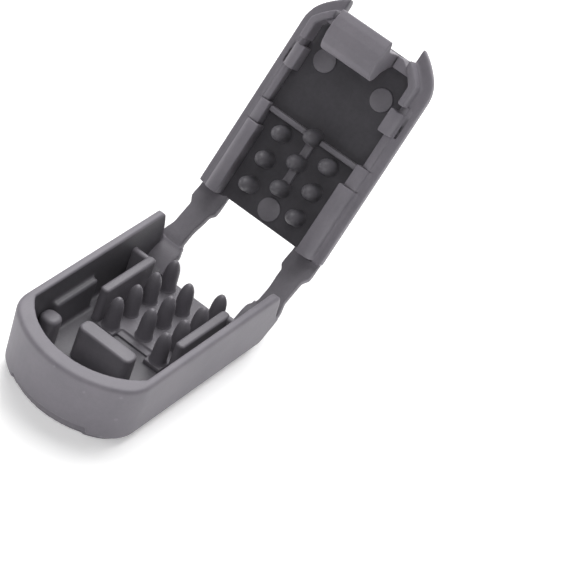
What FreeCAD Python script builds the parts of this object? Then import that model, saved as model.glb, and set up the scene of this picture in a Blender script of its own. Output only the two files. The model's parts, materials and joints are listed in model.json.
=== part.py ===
import FreeCAD, Part
import math
import os
import Sketcher

# Hinged two-shell cord lock, open. Millimetres, +Z up.
# The row frame has its origin in the middle of the ribbed resting face under the base.
# Each shell is drawn in its own moulding frame: x = 0 is its hinge end, z = 0 its rim or lip plane.
# The base runs from x = 0 towards -x and opens upwards. The lid runs towards +x and is then tilted open.

os.makedirs("parts", exist_ok=True)
doc = FreeCAD.newDocument("cord_lock")
ORIGIN_XY = "XY_Plane"
ORIGIN_XZ = "XZ_Plane"
SIDES = (("left", 1), ("right", -1))

DIMENSIONS = {
    # shared shell sizes
    "shell_width": 15.0,
    "end_radius": 8.8,
    "end_centre": 15.2,
    "wall": 0.9,
    "beyond": 30.0,
    "margin": 1.0,
    "corner_round": 3.6,
    "draft": 2.5,
    "edge_round": 0.6,
    "rail_round": 0.3,
    "lip_round": 0.25,
    "small_round": 0.2,
    # base tub; its wall is thicker round the far end than along the sides
    "tub_radius": 9.65,
    "tub_round": 0.75,
    "tub_rim_round": 0.4,
    "lug_reach": 3.5,
    "base_depth": 6.6,
    "floor_depth": 6.05,
    "floor_start": 1.1,
    "dome_height": 0.6,
    "dome_inset": 0.95,
    "dome_start": 0.4,
    "dome_round": 0.35,
    "groove_first": 3.35,
    "groove_pitch": 3.0,
    "groove_width": 1.5,
    "groove_deep": 0.25,
    "groove_half": 5.85,
    "groove_shorten": 0.25,
    "groove_curve": 0.07,
    # latch window and nail notch
    "window_near": 19.5,
    "window_far": 22.0,
    "window_half": 3.9,
    "recess_deep": 0.3,
    "notch_radius": 8.9,
    "notch_half": 4.4,
    "notch_depth": 5.65,
    # inside the base
    "platform_rise": 0.45,
    "platform_long": 10.4,
    "platform_half": 3.85,
    "corner_pad": 11.9,
    "corner_inner": 1.9,
    "step_long": 11.1,
    "step_rise": 0.2,
    "rail_near": 3.6,
    "rail_far": 11.3,
    "rail_inner": 4.05,
    "rail_thick": 1.0,
    "rail_depth": 2.2,
    "return_thick": 0.7,
    "return_depth": 2.7,
    "ledge_near": 10.2,
    "ledge_far": 16.2,
    "ledge_wide": 0.7,
    "ledge_depth": 2.6,
    "peg_x": 17.2,
    "peg_y": 5.65,
    "peg_radius": 0.9,
    "peg_depth": 3.9,
    "stop_near": 15.1,
    "stop_thick": 1.55,
    "stop_half": 3.1,
    "stop_depth": 2.45,
    "stop_corner": 0.6,
    "catch_x": 21.55,
    "catch_top": 1.7,
    "catch_low": 3.5,
    # gripping teeth
    "tooth_pitch": 2.88,
    "column_gap": 2.88,
    "base_first": 2.29,
    "base_tooth": 3.45,
    "base_root": 0.82,
    "base_tip": 0.5,
    "lid_first": 2.44,
    "lid_tooth": 2.45,
    "lid_root": 0.95,
    "lid_tip": 0.48,
    # straps
    "strap_thick": 0.9,
    "strap_inner": 4.4,
    "strap_outer": 7.15,
    "fold_gap": 0.06,
    "root_long": 1.6,
    "lid_root_long": 1.3,
    "fold_base_x": 2.0,
    "fold_base_z": -3.5,
    "fold_lid_x": -1.93,
    "fold_lid_z": -1.56,
    # lid tray
    "lid_centre": 14.86,
    "lid_wall": 1.2,
    "lid_rim": 1.15,
    "lid_floor": 1.7,
    "lid_under": 2.5,
    "lid_edge": 20.7,
    "lid_gap_half": 4.35,
    "mark_radius": 1.1,
    "mark_deep": 0.08,
    "mark_near": 1.5,
    "mark_far": 16.2,
    "mark_y": 3.45,
    "cross_near": 9.35,
    "cross_thick": 0.6,
    "cross_half": 5.3,
    "cross_top": 0.85,
    "rib_half": 0.45,
    "rib_rise": 0.35,
    "horn_start": 17.0,
    "horn_wide": 0.75,
    "horn_top": 0.5,
    "end_wall": 1.2,
    "end_wall_top": 0.0,
    # latch tongue
    "tongue_half": 2.95,
    "tongue_gap": 0.12,
    "pivot_x": 20.1,
    "pivot_z": -1.0,
    "pivot_radius": 0.6,
    # rest pose of the lid and place of the shells in the row frame
    "lid_angle": 58.2,
    "lid_x": 4.92,
    "lid_z": 1.32,
    "hinge_x": 9.0,
    "rim_z": 7.2,
}

# Lip blocks along each side of the lid: start, end, inner half width, top height.
LIPS = {
    "long_lip": (0.0, 7.6, 4.95, 0.0),
    "short_lip": (7.9, 10.0, 5.3, -0.35),
    "low_lip": (10.2, 13.8, 5.75, -0.75),
    "key_block": (13.95, 16.35, 5.2, 0.1),
}

# Side view of the side walls' hinge end, from the rim down to the strap.
WALL_END = ((-0.6, 0.0), (-0.15, -0.08), (0.2, -0.4), (0.45, -1.1), (0.7, -2.0), (0.95, -2.95))

# Side view of the ramp that leads from the tub's floor up to the strap.
ROOT_RAMP = ((-2.4, -6.05), (-2.4, -5.55), (-0.6, -4.75))

# Side view of the thick corner below the strap, from the strap down to the floor's edge.
CORNER_END = ((0.35, -5.75), (-0.35, -6.4))

# Side view of the tongue above the lip plane, from its outer face over the top to its inner face.
TONGUE_PROFILE = (
    (20.7, 2.35),
    (21.6, 3.0),
    (21.6, 3.3),
    (20.9, 3.62),
    (20.0, 3.84),
    (19.0, 3.86),
    (18.1, 3.6),
    (17.55, 3.15),
    (17.4, 2.6),
    (17.65, 2.0),
    (18.5, 1.35),
    (19.2, 0.2),
)

dims = doc.addObject("Spreadsheet::Sheet", "dims")


def add_cell(row, alias, value):
    dims.set(f"A{row}", alias)
    dims.set(f"B{row}", str(value))
    dims.setAlias(f"B{row}", alias)


for row, (alias, value) in enumerate(DIMENSIONS.items(), start=1):
    add_cell(row, alias, value)
next_row = len(DIMENSIONS) + 1
for lip, (start, end, inner, top) in LIPS.items():
    for suffix, value in (("start", start), ("end", end), ("inner", inner), ("top", top)):
        add_cell(next_row, f"{lip}_{suffix}", value)
        next_row += 1
doc.recompute()

BEYOND = "dims.beyond"
INNER_HALF = "(dims.shell_width / 2 - dims.wall)"
INNER_RADIUS = "(dims.end_radius - dims.wall)"
LID_HALF = "(dims.shell_width / 2 - dims.lid_wall)"
LID_RADIUS = "(dims.end_radius - dims.lid_wall)"
HORN_HALF = f"({LID_HALF} - dims.horn_wide)"
HORN_RADIUS = f"({LID_RADIUS} - dims.horn_wide)"

finished = {}


# ---------------------------------------------------------------- shared builders


def bind(thing, **expressions):
    """Binds properties to sheet expressions. A double underscore in a name stands for a dot."""
    for name, expression in expressions.items():
        thing.setExpression(name.replace("__", "."), str(expression))


def place_base(thing):
    """Puts a piece drawn in the base's moulding frame at its place in the row frame."""
    bind(thing, Placement__Base__x="dims.hinge_x", Placement__Base__z="dims.rim_z")


def place_lid(thing):
    """Puts a piece drawn in the lid's moulding frame on the lid as it stands open."""
    tilt = FreeCAD.Rotation(FreeCAD.Vector(0, -1, 0), DIMENSIONS["lid_angle"])
    thing.Placement = FreeCAD.Placement(FreeCAD.Vector(0, 0, 0), tilt)
    bind(
        thing,
        Placement__Base__x="dims.hinge_x + dims.lid_x",
        Placement__Base__z="dims.rim_z + dims.lid_z",
        Placement__Rotation__Angle="dims.lid_angle",
    )


def finish(thing, label, place):
    """Names a finished sub-part, places it and keeps it for export."""
    place(thing)
    thing.Label = label
    finished[label] = thing
    return thing


def box(name, x_from, x_to, y_from, y_to, z_from, z_to):
    """A block between two expressions along each axis."""
    solid = doc.addObject("Part::Box", name)
    bind(
        solid,
        Length=f"({x_to}) - ({x_from})",
        Width=f"({y_to}) - ({y_from})",
        Height=f"({z_to}) - ({z_from})",
        Placement__Base__x=x_from,
        Placement__Base__y=y_from,
        Placement__Base__z=z_from,
    )
    return solid


def side_box(name, side, x_from, x_to, inner, outer, z_from, z_to):
    """A block on the left (+Y) or right (-Y) side, given by its inner and outer distance."""
    if side > 0:
        return box(name, x_from, x_to, inner, outer, z_from, z_to)
    return box(name, x_from, x_to, f"-({outer})", f"-({inner})", z_from, z_to)


def cylinder(name, radius, x, y, z_from, z_to):
    """An upright cylinder between two heights."""
    solid = doc.addObject("Part::Cylinder", name)
    bind(
        solid,
        Radius=radius,
        Height=f"({z_to}) - ({z_from})",
        Placement__Base__x=x,
        Placement__Base__y=y,
        Placement__Base__z=z_from,
    )
    return solid


def boolean(kind, name, first, second):
    """A Part boolean of two objects: Cut, Common or Fuse."""
    result = doc.addObject(f"Part::{kind}", name)
    result.Base = first
    result.Tool = second
    return result


def union(name, pieces):
    """One Part::MultiFuse of several objects."""
    result = doc.addObject("Part::MultiFuse", name)
    result.Shapes = pieces
    return result


def as_expressions(points):
    """Pairs of numbers as pairs of expressions."""
    return [(str(x), str(z)) for x, z in points]


def new_body(name):
    return doc.addObject("PartDesign::Body", name)


def new_sketch(body, name, role, offset=None):
    """A sketch on one of the body's own origin planes, shifted along its normal."""
    plane = [item for item in body.Origin.OriginFeatures if item.Role == role][0]
    sketch = body.newObject("Sketcher::SketchObject", name)
    sketch.AttachmentSupport = (plane, [""])
    sketch.MapMode = "FlatFace"
    if offset is not None:
        bind(sketch, AttachmentOffset__Base__z=offset)
    return sketch


def pin_point(sketch, edge, point, x, y):
    """Holds a sketch point at two expressions measured from the sketch origin."""
    along = sketch.addConstraint(Sketcher.Constraint("DistanceX", -1, 1, edge, point, 1.0))
    sketch.setExpression(f"Constraints[{along}]", x)
    across = sketch.addConstraint(Sketcher.Constraint("DistanceY", -1, 1, edge, point, 1.0))
    sketch.setExpression(f"Constraints[{across}]", y)


def polygon(sketch, points):
    """A closed outline of straight edges through points given as pairs of expressions."""
    count = len(points)
    corners = []
    for index in range(count):
        turn = 2 * math.pi * index / count
        corners.append(FreeCAD.Vector(5 * math.cos(turn), 5 * math.sin(turn), 0))
    for index in range(count):
        line = Part.LineSegment(corners[index], corners[(index + 1) % count])
        sketch.addGeometry(line)
    for index in range(count):
        sketch.addConstraint(Sketcher.Constraint("Coincident", index, 2, (index + 1) % count, 1))
    for index, (x, y) in enumerate(points):
        pin_point(sketch, index, 1, x, y)


def rectangle(sketch, x_from, x_to, y_from, y_to):
    polygon(sketch, [(x_from, y_from), (x_to, y_from), (x_to, y_to), (x_from, y_to)])


def shell_outline(sketch, toward, centre, radius, half, open_x, guess, corner=None):
    """Straight sides, a straight hinge end and a round far end, which lies at -x or +x.

    With a corner radius the sides run into the far end on arcs, otherwise they meet it at an angle.
    """
    centre_x, arc_radius, half_width, end_x = guess
    blend = DIMENSIONS[corner] if corner else 0.0
    reach = math.sqrt((arc_radius - blend) ** 2 - (half_width - blend) ** 2)
    rise = math.atan2(half_width - blend, reach)
    side_end = toward * (centre_x + reach)
    middle = FreeCAD.Vector(toward * centre_x, 0, 0)
    open_upper = FreeCAD.Vector(end_x, half_width, 0)
    open_lower = FreeCAD.Vector(end_x, -half_width, 0)
    sketch.addGeometry(Part.LineSegment(open_lower, open_upper))
    sketch.addGeometry(Part.LineSegment(open_upper, FreeCAD.Vector(side_end, half_width, 0)))
    far = 0 if toward > 0 else math.pi
    sketch.addGeometry(arc_piece(middle, arc_radius, far - rise, far + rise))
    sketch.addGeometry(Part.LineSegment(FreeCAD.Vector(side_end, -half_width, 0), open_lower))
    arc_upper, arc_lower = (2, 1) if toward > 0 else (1, 2)
    sketch.addConstraint(Sketcher.Constraint("Coincident", 0, 2, 1, 1))
    sketch.addConstraint(Sketcher.Constraint("Coincident", 3, 2, 0, 1))
    if corner:
        upper = FreeCAD.Vector(side_end, half_width - blend, 0)
        lower = FreeCAD.Vector(side_end, blend - half_width, 0)
        quarter = math.pi / 2
        upper_turns = sorted((quarter, far + toward * rise))
        lower_turns = sorted((3 * quarter, far + (math.tau if toward > 0 else 0) - toward * rise))
        sketch.addGeometry(arc_piece(upper, blend, *upper_turns))
        sketch.addGeometry(arc_piece(lower, blend, *lower_turns))
        sketch.addConstraint(Sketcher.Constraint("Tangent", 1, 2, 4, arc_upper))
        sketch.addConstraint(Sketcher.Constraint("Tangent", 4, 3 - arc_upper, 2, arc_upper))
        sketch.addConstraint(Sketcher.Constraint("Tangent", 2, arc_lower, 5, 3 - arc_lower))
        sketch.addConstraint(Sketcher.Constraint("Tangent", 5, arc_lower, 3, 1))
        for arc in (4, 5):
            size = sketch.addConstraint(Sketcher.Constraint("Radius", arc, blend))
            sketch.setExpression(f"Constraints[{size}]", f"dims.{corner}")
    else:
        sketch.addConstraint(Sketcher.Constraint("Coincident", 1, 2, 2, arc_upper))
        sketch.addConstraint(Sketcher.Constraint("Coincident", 2, arc_lower, 3, 1))
    sketch.addConstraint(Sketcher.Constraint("Horizontal", 1))
    sketch.addConstraint(Sketcher.Constraint("Horizontal", 3))
    pin_point(sketch, 0, 1, open_x, f"-({half})")
    pin_point(sketch, 0, 2, open_x, half)
    round_size = sketch.addConstraint(Sketcher.Constraint("Radius", 2, arc_radius))
    sketch.setExpression(f"Constraints[{round_size}]", radius)
    pin_point(sketch, 2, 3, centre, "0")


def arc_piece(middle, radius, turn_from, turn_to):
    """An arc between two angles, counter-clockwise."""
    circle = Part.Circle(middle, FreeCAD.Vector(0, 0, 1), radius)
    return Part.ArcOfCircle(circle, turn_from, turn_to)


def add_pad(body, name, sketch, length, downwards=False, symmetric=False):
    pad = body.newObject("PartDesign::Pad", name)
    pad.Profile = sketch
    bind(pad, Length=length)
    pad.Reversed = downwards
    if symmetric:
        pad.SideType = "Symmetric"
    return pad


def add_pocket(body, name, sketch, length=None, symmetric=False):
    """A pocket straight down from its sketch, of a given depth or through everything."""
    before = body.Tip
    pocket = body.newObject("PartDesign::Pocket", name)
    pocket.Profile = sketch
    if length is None:
        pocket.Type = "ThroughAll"
    else:
        bind(pocket, Length=length)
    if symmetric:
        pocket.SideType = "Symmetric"
    doc.recompute()
    if pocket.Shape.Volume > before.Shape.Volume - 1e-6:
        raise RuntimeError(f"{name} cuts nothing")
    return pocket


def round_edges(body, name, radius, chosen):
    """Rounds the edges of the body's last feature that the chosen test accepts."""
    doc.recompute()
    base = body.Tip
    edges = [f"Edge{number}" for number, edge in enumerate(base.Shape.Edges, start=1) if chosen(edge)]
    fillet = body.newObject("PartDesign::Fillet", name)
    fillet.Base = (base, edges)
    bind(fillet, Radius=radius)
    return fillet


def soften(name, solid, radius, chosen):
    """Rounds the chosen edges of a Part solid, whose result then has a Placement of its own."""
    doc.recompute()
    size = DIMENSIONS[radius]
    rounds = []
    for number, edge in enumerate(solid.Shape.Edges, start=1):
        if chosen(edge):
            rounds.append((number, size, size))
    result = doc.addObject("Part::Fillet", name)
    result.Base = solid
    result.Edges = rounds
    return result


def long_edges_at_top(solid):
    """A test for the edges along x at the top of a block."""
    doc.recompute()
    top = solid.Shape.BoundBox.ZMax

    def test(edge):
        bounds = edge.BoundBox
        return abs(bounds.ZMin - top) < 1e-3 and bounds.XLength > 2 * bounds.YLength + 1e-3

    return test


def edges_across_top(solid):
    """A test for the edges along y at the top of a block."""
    doc.recompute()
    top = solid.Shape.BoundBox.ZMax

    def test(edge):
        bounds = edge.BoundBox
        return abs(bounds.ZMin - top) < 1e-3 and bounds.YLength > 2 * bounds.XLength + 1e-3

    return test


def inner_top_edge(solid, side):
    """A test for the top edge along x that faces the middle of the part."""
    doc.recompute()
    inner = min(abs(solid.Shape.BoundBox.YMin), abs(solid.Shape.BoundBox.YMax))
    along = long_edges_at_top(solid)

    def test(edge):
        return along(edge) and abs(side * edge.BoundBox.YMin - inner) < 1e-3

    return test


def edges_at_height(height):
    """A test for edges that lie wholly at one height of the moulding frame."""

    def test(edge):
        bounds = edge.BoundBox
        return abs(bounds.ZMin - height) < 1e-3 and abs(bounds.ZMax - height) < 1e-3

    return test


def upright_edges(edge):
    """True for edges along z."""
    bounds = edge.BoundBox
    return bounds.XLength + bounds.YLength < 1e-3


def prism(name, label, place, points, half_from, half_to, side):
    """A solid with an outline in the XZ plane and flat sides at two distances from the middle."""
    body = new_body(name)
    middle = f"-({side}) * (({half_from}) + ({half_to})) / 2"
    sketch = new_sketch(body, f"{name}_outline", ORIGIN_XZ, middle)
    polygon(sketch, points)
    add_pad(body, f"{name}_solid", sketch, f"({half_to}) - ({half_from})", symmetric=True)
    return finish(body, label, place)


# ---------------------------------------------------------------- strap outline


def strap_course():
    """Slope of the straps at rest in the base's frame, their slope in the lid's frame and their length."""
    tilt = math.radians(DIMENSIONS["lid_angle"])
    fold_x, fold_z = rotated(DIMENSIONS["fold_lid_x"], DIMENSIONS["fold_lid_z"], tilt)
    run = DIMENSIONS["lid_x"] + fold_x - DIMENSIONS["fold_base_x"]
    climb = DIMENSIONS["lid_z"] + fold_z - DIMENSIONS["fold_base_z"]
    slope = math.atan2(climb, run)
    return slope, slope - tilt, math.hypot(run, climb)


def rotated(x, z, angle):
    """A point of the XZ plane turned from x towards z."""
    return (
        x * math.cos(angle) - z * math.sin(angle),
        x * math.sin(angle) + z * math.cos(angle),
    )


BASE_SLOPE, LID_SLOPE, LINK_LONG = strap_course()
add_cell(next_row, "base_slope", round(math.degrees(BASE_SLOPE), 4))
add_cell(next_row + 1, "lid_slope", round(math.degrees(LID_SLOPE), 4))
add_cell(next_row + 2, "link_long", round(LINK_LONG, 4))
doc.recompute()


def along_strap(fold_x, fold_z, slope, along, across):
    """A point measured from a fold line along the strap and across its thickness, as expressions."""
    x = f"{fold_x} + ({along}) * cos({slope} * 1 deg) - ({across}) * sin({slope} * 1 deg)"
    z = f"{fold_z} + ({along}) * sin({slope} * 1 deg) + ({across}) * cos({slope} * 1 deg)"
    return (x, z)


HALF_THICK = "dims.strap_thick / 2"
FOLD_END = "(dims.strap_thick / 2 + dims.fold_gap)"


def at_base_fold(along, across):
    return along_strap("dims.fold_base_x", "dims.fold_base_z", "dims.base_slope", along, across)


def at_lid_fold(along, across):
    return along_strap("dims.fold_lid_x", "dims.fold_lid_z", "dims.lid_slope", along, across)


# ---------------------------------------------------------------- base


def base_shell():
    """Drafted tub with a round far end, open at the hinge end, with the latch window in its floor."""
    body = new_body("tub")
    guess = (15.2, 9.65, 7.5, 3.5)
    outer = new_sketch(body, "tub_outline", ORIGIN_XY)
    shell_outline(
        outer, -1, "-dims.end_centre", "dims.tub_radius",
        "dims.shell_width / 2", "dims.lug_reach", guess, "corner_round",
    )
    block = add_pad(body, "tub_block", outer, "dims.base_depth", downwards=True)
    bind(block, TaperAngle="-dims.draft")
    round_edges(body, "tub_foot_round", "dims.tub_round", edges_at_height(-DIMENSIONS["base_depth"]))
    round_edges(body, "tub_rim_edge", "dims.tub_rim_round", edges_at_height(0.0))
    doc.recompute()
    inner = new_sketch(body, "tub_inside", ORIGIN_XY)
    inner_guess = (15.2, 7.9, 6.6, 4.5)
    open_end = "dims.lug_reach + dims.margin"
    shell_outline(inner, -1, "-dims.end_centre", INNER_RADIUS, INNER_HALF, open_end, inner_guess)
    add_pocket(body, "tub_hollow", inner, "dims.floor_depth")
    mouth = new_sketch(body, "mouth_outline", ORIGIN_XY)
    rectangle(mouth, "-dims.floor_start", open_end, f"-{INNER_HALF}", INNER_HALF)
    add_pocket(body, "mouth_opening", mouth)
    lug = new_sketch(body, "lug_outline", ORIGIN_XZ)
    above = "dims.margin"
    below = "-dims.base_depth - dims.margin"
    reach = f"-{FOLD_END}"
    start, end = WALL_END[0][0], CORNER_END[-1][0]
    outline = [(str(start), above)]
    outline += as_expressions(WALL_END)
    outline += [
        at_base_fold("-dims.strap_thick", HALF_THICK),
        at_base_fold(reach, HALF_THICK),
        at_base_fold(reach, f"-{HALF_THICK}"),
        at_base_fold("-dims.strap_thick", f"-{HALF_THICK}"),
    ]
    outline += as_expressions(CORNER_END)
    outline += [(str(end), below), (open_end, below), (open_end, above)]
    polygon(lug, outline)
    add_pocket(body, "lug_trim", lug, "dims.shell_width + 4", symmetric=True)
    window = new_sketch(body, "window_outline", ORIGIN_XY)
    half = "dims.window_half"
    rectangle(window, "-dims.window_far", "-dims.window_near", f"-{half}", half)
    add_pocket(body, "latch_window", window)
    reach = "dims.notch_half"
    low = "-dims.base_depth - dims.margin"
    block = box("notch_block", f"-{BEYOND}", "-dims.end_centre", f"-{reach}", reach, low, "-dims.notch_depth")
    core = cylinder("notch_core", "dims.notch_radius", "-dims.end_centre", "0", f"{low} - dims.margin", "0")
    notch = boolean("Cut", "nail_notch", block, core)
    finish(boolean("Cut", "tub_notched", body, notch), "base_shell", place_base)


def grip_dome():
    """Raised, grooved pad under the tub, cut for the latch window and recessed behind it."""
    body = new_body("dome_pad")
    guess = (15.2, 8.7, 6.55, -0.4)
    outline = new_sketch(body, "dome_outline", ORIGIN_XY, "-dims.base_depth")
    radius = "dims.tub_radius - dims.dome_inset"
    half_width = "dims.shell_width / 2 - dims.dome_inset"
    near_end = "-dims.dome_start"
    shell_outline(outline, -1, "-dims.end_centre", radius, half_width, near_end, guess, "corner_round")
    add_pad(body, "dome_block", outline, "dims.dome_height", downwards=True)
    lowest = -DIMENSIONS["base_depth"] - DIMENSIONS["dome_height"]
    round_edges(body, "dome_round", "dims.dome_round", edges_at_height(lowest))
    doc.recompute()
    half = "dims.window_half"
    under = "-dims.base_depth - dims.dome_height"
    low = f"{under} - dims.margin"
    inside = "-dims.floor_depth"
    window = box("dome_window", "-dims.window_far", "-dims.window_near", f"-{half}", half, low, inside)
    recess_floor = f"{under} + dims.recess_deep"
    recess = box("dome_recess", f"-{BEYOND}", "-dims.window_far", f"-{half}", half, low, recess_floor)
    cutters = [window, recess]
    for number in range(5):
        near = f"-dims.groove_first - {number} * dims.groove_pitch"
        shorten = f"{number} * dims.groove_shorten + {number**2} * dims.groove_curve"
        reach = f"(dims.groove_half - {shorten})"
        top = f"{under} + dims.groove_deep"
        name = f"groove_{number + 1}"
        cutters.append(box(name, f"{near} - dims.groove_width", near, f"-{reach}", reach, low, top))
    dome = boolean("Cut", "dome_cut", body, union("dome_cutters", cutters))
    finish(dome, "grip_dome", place_base)


def tooth_platform():
    """Raised bed for the gripping teeth, with two corner pads and a lower front step."""
    floor = "-dims.floor_depth"
    top = "-dims.floor_depth + dims.platform_rise"
    half = "dims.platform_half"
    pieces = [box("bed", "-dims.platform_long", "-dims.floor_start", f"-{half}", half, floor, top)]
    for label, side in SIDES:
        name = f"corner_pad_{label}"
        long_from = "-dims.corner_pad"
        pad = side_box(name, side, long_from, "-dims.platform_long", "dims.corner_inner", half, floor, top)
        pieces.append(pad)
    step_top = "-dims.floor_depth + dims.step_rise"
    inner = "dims.corner_inner"
    pieces.append(box("bed_step", "-dims.step_long", "-dims.platform_long", f"-{inner}", inner, floor, step_top))
    finish(union("platform_solid", pieces), "tooth_platform", place_base)


def tooth(name, label, place, x, y, z, height, root, tip):
    """Bullet-shaped tooth: a cone with a ball end, standing on a floor at height z."""
    shaft = doc.addObject("Part::Cone", f"{name}_shaft")
    bind(shaft, Radius1=root, Radius2=tip, Height=f"{height} - {tip}")
    ball = doc.addObject("Part::Sphere", f"{name}_ball")
    bind(ball, Radius=tip, Placement__Base__z=f"{height} - {tip}")
    for piece in (shaft, ball):
        bind(piece, Placement__Base__x=x, Placement__Base__y=y)
    shaft.setExpression("Placement.Base.z", z)
    ball.setExpression("Placement.Base.z", f"{z} + {height} - {tip}")
    finish(boolean("Fuse", f"{name}_solid", shaft, ball), label, place)


def base_teeth():
    """Three columns of teeth; the middle column is shifted by half a pitch."""
    floor = "-dims.floor_depth + dims.platform_rise"
    number = 1
    for column, count, shift in ((1, 4, 0.0), (0, 3, 0.5), (-1, 4, 0.0)):
        for index in range(count):
            x = f"-dims.base_first - {index + shift} * dims.tooth_pitch"
            y = f"{column} * dims.column_gap"
            name = f"base_tooth_{number:02d}"
            sizes = ("dims.base_tooth", "dims.base_root", "dims.base_tip")
            tooth(name, name, place_base, x, y, floor, *sizes)
            number += 1


def base_inside():
    """Rails beside the teeth, their returns, side ledges, pegs, latch backstop and catch."""
    floor = "-dims.floor_depth"
    rail_outer = "dims.rail_inner + dims.rail_thick"
    for label, side in SIDES:
        name = f"cord_rail_{label}"
        rail = side_box(
            f"{name}_block", side, "-dims.rail_far", "-dims.rail_near",
            "dims.rail_inner", rail_outer, floor, "-dims.rail_depth",
        )
        rail = soften(f"{name}_solid", rail, "rail_round", long_edges_at_top(rail))
        finish(rail, name, place_base)
        name = f"rail_return_{label}"
        back = side_box(
            f"{name}_block", side, "-dims.rail_near - dims.return_thick", "-dims.rail_near",
            rail_outer, INNER_HALF, floor, "-dims.return_depth",
        )
        back = soften(f"{name}_solid", back, "small_round", edges_across_top(back))
        finish(back, name, place_base)
        name = f"side_ledge_{label}"
        ledge = side_box(
            f"{name}_block", side, "-dims.ledge_far", "-dims.ledge_near",
            f"{INNER_HALF} - dims.ledge_wide", INNER_HALF, floor, "-dims.ledge_depth",
        )
        ledge = soften(f"{name}_solid", ledge, "small_round", inner_top_edge(ledge, side))
        finish(ledge, name, place_base)
        name = f"corner_peg_{label}"
        y = f"{side} * dims.peg_y"
        shaft = cylinder(f"{name}_shaft", "dims.peg_radius", "-dims.peg_x", y, floor, "-dims.peg_depth")
        ball = doc.addObject("Part::Sphere", f"{name}_ball")
        bind(
            ball,
            Radius="dims.peg_radius",
            Placement__Base__x="-dims.peg_x",
            Placement__Base__y=y,
            Placement__Base__z="-dims.peg_depth",
        )
        finish(boolean("Fuse", f"{name}_solid", shaft, ball), name, place_base)


def latch_backstop():
    """Cross wall with round ends and a soft top that keeps the cord ends away from the latch."""
    half = "dims.stop_half"
    x_from = "-dims.stop_near - dims.stop_thick"
    stop = box("stop_block", x_from, "-dims.stop_near", f"-{half}", half, "-dims.floor_depth", "-dims.stop_depth")
    stop = soften("stop_corners", stop, "stop_corner", upright_edges)
    stop = soften("stop_solid", stop, "rail_round", edges_at_height(-DIMENSIONS["stop_depth"]))
    finish(stop, "latch_backstop", place_base)


def latch_catch():
    """Ledge on the round end wall that the latch tongue hooks under."""
    half = "dims.window_half"
    low, top = "-dims.catch_low", "-dims.catch_top"
    block = box("catch_block", f"-{BEYOND}", "-dims.catch_x", f"-{half}", half, low, top)
    inside = cylinder("catch_limit", INNER_RADIUS, "-dims.end_centre", "0", "-dims.base_depth", "0")
    finish(boolean("Common", "catch_solid", block, inside), "latch_catch", place_base)


def strap_roots():
    """Thick corners that carry the straps out of the base, up to the first fold line."""
    outline = as_expressions(ROOT_RAMP)
    outline += [
        at_base_fold("-dims.root_long", HALF_THICK),
        at_base_fold(f"-{FOLD_END}", HALF_THICK),
        at_base_fold(f"-{FOLD_END}", f"-{HALF_THICK}"),
        at_base_fold("-dims.strap_thick", f"-{HALF_THICK}"),
    ]
    outline += as_expressions(CORNER_END)
    outline.append(("-dims.floor_start", f"{CORNER_END[-1][1]}"))
    outline.append(("-dims.floor_start", "-dims.floor_depth"))
    for label, side in SIDES:
        name = f"strap_root_{label}"
        prism(f"{name}_body", name, place_base, outline, "dims.strap_inner", INNER_HALF, side)


# ---------------------------------------------------------------- straps


def strap_links():
    """Flexible middle of each strap, with a round end on each fold line."""
    for label, side in SIDES:
        name = f"strap_{label}"
        web = side_box(
            f"{name}_web", side, "0", "dims.link_long",
            "dims.strap_inner", "dims.strap_outer", f"-{HALF_THICK}", HALF_THICK,
        )
        pieces = [web]
        for end, x in (("base", "0"), ("lid", "dims.link_long")):
            knuckle = doc.addObject("Part::Cylinder", f"{name}_{end}_end")
            turn = FreeCAD.Rotation(FreeCAD.Vector(1, 0, 0), 90)
            knuckle.Placement = FreeCAD.Placement(FreeCAD.Vector(0, 0, 0), turn)
            start = "dims.strap_outer" if side > 0 else "-dims.strap_inner"
            bind(
                knuckle,
                Radius=HALF_THICK,
                Height="dims.strap_outer - dims.strap_inner",
                Placement__Base__x=x,
                Placement__Base__y=start,
            )
            pieces.append(knuckle)
        finish(union(f"{name}_solid", pieces), name, place_link)


def place_link(thing):
    """Puts a strap drawn along +x from its first fold line at its slope in the row frame."""
    tilt = FreeCAD.Rotation(FreeCAD.Vector(0, -1, 0), DIMENSIONS["lid_angle"])
    thing.Placement = FreeCAD.Placement(FreeCAD.Vector(0, 0, 0), tilt)
    bind(
        thing,
        Placement__Base__x="dims.hinge_x + dims.fold_base_x",
        Placement__Base__z="dims.rim_z + dims.fold_base_z",
        Placement__Rotation__Angle="dims.base_slope",
    )


# ---------------------------------------------------------------- lid


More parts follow.
